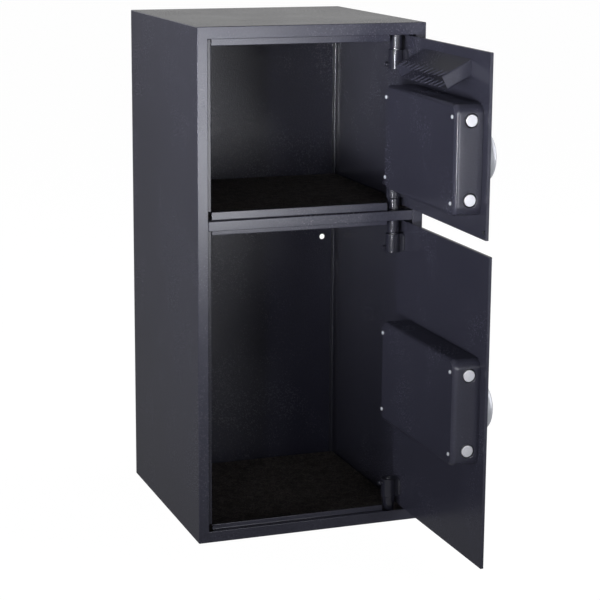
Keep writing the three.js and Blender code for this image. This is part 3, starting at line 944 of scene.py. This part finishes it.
# %% Weld beads
weld_radius = 2.2 * MM
weld_step = 0.4 * MM
weld_scale = 2.6 * MM
valley_share = 0.82
ripple_share = 0.18
rough_share = 0.12
taper_steps = 3
rough_scale_across = 40
rough_scale_along = 500
foot_half = 7 * MM
bead_beside_foot = 0.6 * MM
bead_off_plate = 0.9 * MM
bead_from_end = 2 * MM
BEAD_SIDES = 14


def weld_bead(bm, start, length):
    """A rippled rod that rises along Z from a point, with closed ends."""
    rings = []
    count = int(length / weld_step)
    turns = [2 * math.pi * corner / BEAD_SIDES for corner in range(BEAD_SIDES)]
    for step in range(count + 1):
        height = step * weld_step
        ripple = abs(math.sin(math.pi * height / weld_scale))
        taper = min(1.0, (min(step, count - step) + 0.5) / taper_steps)
        spot = (start.x * rough_scale_across, start.z * rough_scale_across, height * rough_scale_along)
        swell = valley_share + ripple_share * ripple + rough_share * noise.noise(Vector(spot))
        radius = weld_radius * math.sqrt(taper) * swell
        corners = [Vector((radius * math.cos(turn), radius * math.sin(turn), height)) for turn in turns]
        rings.append([bm.verts.new(start + corner) for corner in corners])
    skin_over(bm, rings)


for side in SIDES:
    bm = bmesh.new()
    for end in ("top", "bottom"):
        low, high = shut_box(f"{side}_hinge_barrel_{end}", side)
        middle = (low.x + high.x) / 2
        for edge in (-1, 1):
            beside = middle + edge * (foot_half + bead_beside_foot)
            start = Vector((beside, low.y + bead_off_plate, low.z + bead_from_end))
            weld_bead(bm, start, high.z - low.z - 2 * bead_from_end)
    print(side, "weld beads", len(bm.faces), "faces")
    new_piece(bm, f"{side}_hinge_welds", f"{side}_door_leaf", hinge_coat, (), side)

# %% [markdown]
# ## Buffer
# A small rubber buffer sits low on the free side of the upper door and meets the frame, so
# that the door doesn't ring when it falls shut. It is another short turned part.

# %% Buffer
buffer_radius = 2.4 * MM
buffer_rise = 1.6 * MM
buffer_foot = 0.3 * MM
buffer_from_free_side = 6.7 * MM
buffer_from_bottom = 10.4 * MM
low, high = shut_box("upper_door", "upper")
buffer_place = Vector((low.x + buffer_from_free_side, high.y, low.z + buffer_from_bottom))
bm = turned_part([
    (0, -buffer_foot), (buffer_radius, -buffer_foot), (buffer_radius, buffer_rise * 0.5),
    (buffer_radius * 0.85, buffer_rise * 0.85), (buffer_radius * 0.5, buffer_rise), (0, buffer_rise),
])
laid_along(bm, (0, 1, 0), buffer_place)
new_piece(bm, "upper_door_buffer", "upper_door_leaf", key_rubber, (), "upper")
print("buffer rises", buffer_rise / MM, "mm")

# %% [markdown]
# ## Keypad housings
# The housing on the outside is a lozenge with half-round ends and a full, soft edge. Each
# key stands in its own opening, and the knob's spindle passes through a round one.

# %% Keypad housings
housing_edge = 8.5 * MM
housing_wall = 2.5 * MM
key_play = 0.35 * MM
cap_width = 10.0 * MM
cap_height = 9.5 * MM
cap_corner = 1.6 * MM
cutter_depth = 12 * MM
spindle_hole_radius = 7 * MM


def rounded_block(bm, middle, size, corner):
    """Add a block whose edges along Y are rounded."""
    place = Matrix.Translation(middle) @ Matrix.Diagonal((size.x, size.y, size.z, 1))
    corners = set(bmesh.ops.create_cube(bm, size=1.0, matrix=place)["verts"])
    along_y = [edge for edge in bm.edges if edge.verts[0] in corners
               and abs(edge.verts[0].co.y - edge.verts[1].co.y) > size.y / 2]
    bmesh.ops.bevel(
        bm, geom=along_y, offset=corner, affect="EDGES", segments=5, profile=0.5, material=-1,
    )


def keypad_housing(side):
    node = f"{side}_keypad_bezel"
    low, high = shut_box(node, side)
    bm = pressed_tray(low, high, high.y, low.y, (high.z - low.z) / 2, housing_edge, housing_wall, 0.0)
    cutters = bmesh.new()
    opening = Vector((cap_width + 2 * key_play, cutter_depth, cap_height + 2 * key_play))
    for digit in range(10):
        key = middle_at(*shut_box(f"{side}_key_{digit}", side), low.y)
        rounded_block(cutters, key, opening, cap_corner + key_play)
    spindle = middle_at(*shut_box(f"{side}_knob", side), low.y)
    drill(cutters, spindle, (0, 1, 0), spindle_hole_radius, cutter_depth)
    bm = punched(bm, cutters)
    print(node, len(bm.faces), "faces")
    return weighted(piece_for(node, "moulded", bm, silver_lacquer, side))


for side in SIDES:
    keypad_housing(side)

# %% [markdown]
# ## Keys
# A key is a soft cap on a wider foot that cannot pass the opening. The cap's corners are
# round and its top edge is broken.

# %% Keys
foot_thickness = 1.2 * MM
key_edge = 0.7 * MM


def key_cap(side, digit):
    node = f"{side}_key_{digit}"
    low, high = shut_box(node, side)
    bm = bmesh.new()
    depth = high.y - low.y - foot_thickness
    cap = Vector((cap_width, depth, cap_height))
    foot = Vector((high.x - low.x, foot_thickness, high.z - low.z))
    rounded_block(bm, middle_at(low, high, low.y + depth / 2), cap, cap_corner)
    rounded_block(bm, middle_at(low, high, high.y - foot_thickness / 2), foot, cap_corner)
    bmesh.ops.recalc_face_normals(bm, faces=bm.faces)
    return round_edges(piece_for(node, "cap", bm, key_rubber, side), key_edge, segments=4, angle=50)


# %% [markdown]
# A plain digit is printed on each cap, made from text: the letter shape is turned to a mesh
# while it still lies flat, is scaled to its height and is then carried to the cap.

# %% Printed digits
digit_height = 6.6 * MM
height_of_font = 0.7
print_thickness = 0.04 * MM
print_sunk = 0.005 * MM


def digit_shape(digit):
    """A flat printed digit, centred on the origin and facing +Z."""
    curve = bpy.data.curves.new("digit", "FONT")
    curve.body = str(digit)
    curve.size = digit_height / height_of_font
    curve.extrude = print_thickness
    holder = bpy.data.objects.new("digit", curve)
    bpy.context.scene.collection.objects.link(holder)
    bpy.context.view_layer.update()
    mesh = bpy.data.meshes.new_from_object(holder.evaluated_get(bpy.context.evaluated_depsgraph_get()))
    bm = bmesh.new()
    bm.from_mesh(mesh)
    bpy.data.meshes.remove(mesh)
    bpy.data.objects.remove(holder)
    bpy.data.curves.remove(curve)
    across = [vert.co.x for vert in bm.verts]
    up = [vert.co.y for vert in bm.verts]
    centre = Vector(((min(across) + max(across)) / 2, (min(up) + max(up)) / 2, 0))
    scale = digit_height / (max(up) - min(up))
    bmesh.ops.translate(bm, vec=-centre, verts=bm.verts)
    bmesh.ops.scale(bm, vec=(scale, scale, 1), verts=bm.verts)
    return bm


def printed_digit(side, digit):
    low, high = shut_box(f"{side}_key_{digit}", side)
    bm = digit_shape(digit)
    bmesh.ops.remove_doubles(bm, verts=bm.verts, dist=merge_distance)
    facing_out = Matrix.Rotation(math.radians(90), 4, "X")
    face = middle_at(low, high, low.y + print_sunk)
    bmesh.ops.transform(bm, matrix=Matrix.Translation(face) @ facing_out, verts=bm.verts)
    bmesh.ops.recalc_face_normals(bm, faces=bm.faces)
    body = f"{side}_key_{digit}_cap"
    piece = new_piece(bm, f"{side}_key_{digit}_print", body, digit_print, (), side)
    piece.data.shade_flat()
    return piece


for side in SIDES:
    for digit in range(10):
        key_cap(side, digit)
        printed_digit(side, digit)
print("keys", 10 * len(SIDES))

# %% [markdown]
# ## Knobs
# One turns the knob once the code is right, and a crank behind the door draws the bolts.
# The knob is a turned disc with a waist and a flat grip across it, and a dark line on the
# grip shows where it points. The spindle and the crank keep the shape that the frame has:
# a copy is cut off just behind the disc.

# %% Knobs
knob_length = 20 * MM
knob_profile = [
    (0, 0), (16.4, 0), (17.0, 0.6), (17.0, 2.2), (16.7, 3.4), (16.0, 4.3), (15.0, 4.9), (13.8, 5.0),
    (13.1, 5.4), (12.7, 6.2), (11.6, 11.0), (10.6, 15.4), (10.2, 16.3), (9.4, 16.9), (8.4, 17.0), (0, 17.0),
]
grip_size = Vector((9 * MM, 17.5 * MM, 28 * MM))
grip_corner = 4.0 * MM
grip_edge = 1.4 * MM
pointer_size = Vector((1.2 * MM, 0.4 * MM, 9 * MM))
pointer_corner = 0.4 * MM
crank_gap = 0.4 * MM
crank_edge = 0.4 * MM


def knob(side):
    node = f"{side}_knob"
    body = BODY_OF[node]
    low, high = shut_box(node, side)
    base = middle_at(low, high, low.y + knob_length)

    disc = turned_part([(radius * MM, rise * MM) for radius, rise in knob_profile])
    laid_along(disc, (0, -1, 0), base)
    weighted(piece_for(node, "disc", disc, silver_lacquer, side))

    grip = bmesh.new()
    middle = Vector((base.x, low.y + grip_size.y / 2, base.z))
    rounded_block(grip, middle, grip_size, grip_corner)
    grip_piece = new_piece(grip, f"{node}_grip", body, silver_lacquer, (), side)
    round_edges(grip_piece, grip_edge, segments=4, angle=50)

    mark = bmesh.new()
    place = Vector((base.x, low.y + pointer_size.y / 2, base.z + grip_size.z / 2 - pointer_size.z))
    rounded_block(mark, place, pointer_size, pointer_corner)
    new_piece(mark, f"{node}_pointer", body, key_rubber, (), side)

    crank = merged_copy(node)
    bmesh.ops.transform(crank, matrix=OPENING[side].inverted(), verts=crank.verts)
    geometry = crank.verts[:] + crank.edges[:] + crank.faces[:]
    behind_disc = (0, base.y + crank_gap, 0)
    bmesh.ops.bisect_plane(crank, geom=geometry, plane_co=behind_disc, plane_no=(0, -1, 0), clear_outer=True)
    bmesh.ops.holes_fill(crank, edges=[edge for edge in crank.edges if edge.is_boundary])
    crank_piece = new_piece(crank, f"{node}_crank", body, zinc_plate, (), side)
    round_edges(crank_piece, crank_edge, segments=2)
    print(node, "reaches", round((high.y - low.y) / MM, 1), "mm from grip to crank")


for side in SIDES:
    knob(side)

# %% [markdown]
# ## Floor and backdrop
# A plain pale floor runs out of sight. The camera sees floor and room as nearly white, and
# so does polished metal, through Light Path. Under that white the floor is a real pale
# surface, so it still takes the soft shadow of the safe.

# %% Floor
floor_half = 40.0
seen_cover = 0.88
seen_white = 1.12
mirrored_cover = 0.9
mirrored_white = 0.14


def seen_or_mirrored(tree, seen_value, mirrored_value):
    """One value where the camera looks, another where a mirror or glass looks, else nothing."""
    path = node_of(tree, "ShaderNodeLightPath").outputs
    by_mirror = math_of(tree, "MAXIMUM", path["Is Glossy Ray"], path["Is Transmission Ray"])
    seen = math_of(tree, "MULTIPLY", path["Is Camera Ray"], seen_value)
    mirrored = math_of(tree, "MULTIPLY", by_mirror, mirrored_value)
    return math_of(tree, "MAXIMUM", seen, mirrored)


def make_floor_material():
    material, tree, shader = material_of(
        "pale_floor", {"Base Color": (0.55, 0.55, 0.55, 1), "Roughness": 0.9, "Specular IOR Level": 0.0}
    )
    share = seen_or_mirrored(tree, seen_cover, mirrored_cover)
    brightness = seen_or_mirrored(tree, seen_white, mirrored_white)
    glow = node_of(tree, "ShaderNodeEmission", {"Color": (1, 1, 1, 1), "Strength": brightness})
    blend = node_of(tree, "ShaderNodeMixShader", {"Fac": share})
    tree.links.new(shader.outputs["BSDF"], blend.inputs[1])
    tree.links.new(glow.outputs["Emission"], blend.inputs[2])
    tree.links.new(blend.outputs["Shader"], tree.nodes["Material Output"].inputs["Surface"])
    return material


bm = bmesh.new()
bmesh.ops.create_grid(bm, x_segments=1, y_segments=1, size=floor_half)
floor = loose_object(bm, "floor")
floor.data.materials.append(make_floor_material())
print("floor of", 2 * floor_half, "m")

# %% [markdown]
# The room is a lit paper backdrop: bright near the floor and dimmer overhead, which is what
# the flat top of the safe mirrors. It gives matt surfaces only a weak fill, because the
# lamps do the lighting.

# %% World
room_fill = 0.07
world = bpy.data.worlds.new("soft_room")
bpy.context.scene.world = world
world.use_nodes = True
tree = world.node_tree
heading = node_of(tree, "ShaderNodeTexCoord").outputs["Generated"]
height = node_of(tree, "ShaderNodeSeparateXYZ", {"Vector": heading}).outputs["Z"]
paper = node_of(
    tree, "ShaderNodeMapRange",
    {"Value": height, "From Min": 0.2, "From Max": 0.36, "To Min": 0.55, "To Max": 0.1},
    interpolation_type="SMOOTHSTEP",
)
room = math_of(tree, "MAXIMUM", seen_or_mirrored(tree, 1.0, paper.outputs["Result"]), room_fill)
background = tree.nodes["Background"]
background.inputs["Color"].default_value = (1, 1, 1, 1)
tree.links.new(room, background.inputs["Strength"])
print("room of", len(tree.nodes), "nodes")

# %% [markdown]
# ## Lamps
# A dark, half glossy coat needs two kinds of light. Two gridded softboxes at the left light
# the faces and the inside. They are aimed high, so their light falls off downwards, and
# they aren't mirrored, because a bright rectangle on a dark side would hide it. The
# reflections have lamps of their own: a thin strip at the left draws the highlights on folds
# and hinges, and one at the front is mirrored in the front frame. A large softbox at the
# right lights the outer faces and the silver housings, and weak lamps fill the rest.

# %% Lamps
lamp_color = (0.93, 0.945, 1.0)


def softbox(name, place, size, power, aim=(0, 0, 0.45), spread=180, mirrored=True):
    """A rectangular lamp. One that isn't mirrored lights matt surfaces only."""
    light = bpy.data.lights.new(name, "AREA")
    light.shape = "RECTANGLE"
    light.spread = math.radians(spread)
    light.size, light.size_y = size
    light.energy = power
    light.color = lamp_color
    lamp = bpy.data.objects.new(name, light)
    lamp.location = place
    lamp.visible_glossy = mirrored
    lamp.rotation_mode = "QUATERNION"
    lamp.rotation_quaternion = (Vector(aim) - Vector(place)).to_track_quat("-Z", "Y")
    bpy.context.scene.collection.objects.link(lamp)
    print(name, power, "W")


softbox("left_front_softbox", (-2.2, -2.2, 0.42), (0.9, 0.8), 12, aim=(0, 0, 1.25), spread=44, mirrored=False)
softbox("left_softbox", (-2.8, -0.9, 0.55), (0.9, 0.8), 6, spread=70, mirrored=False)
softbox("left_strip", (-1.6, -2.6, 0.45), (0.12, 0.8), 3.4, aim=(0, 0, 1.0), spread=52)
softbox("front_strip", (0.5, -2.4, 0.32), (0.4, 0.62), 9)
softbox("front_fill", (-0.3, -2.7, 1.0), (0.4, 0.6), 1.2, aim=(0, 0, 0.95), spread=60)
softbox("right_softbox", (2.4, -0.8, 1.2), (2.2, 2.2), 64)
softbox("back_softbox", (-1.1, 2.7, 1.3), (1.0, 1.0), 4)
softbox("top_softbox", (0.1, -0.2, 2.6), (1.4, 1.4), 2)
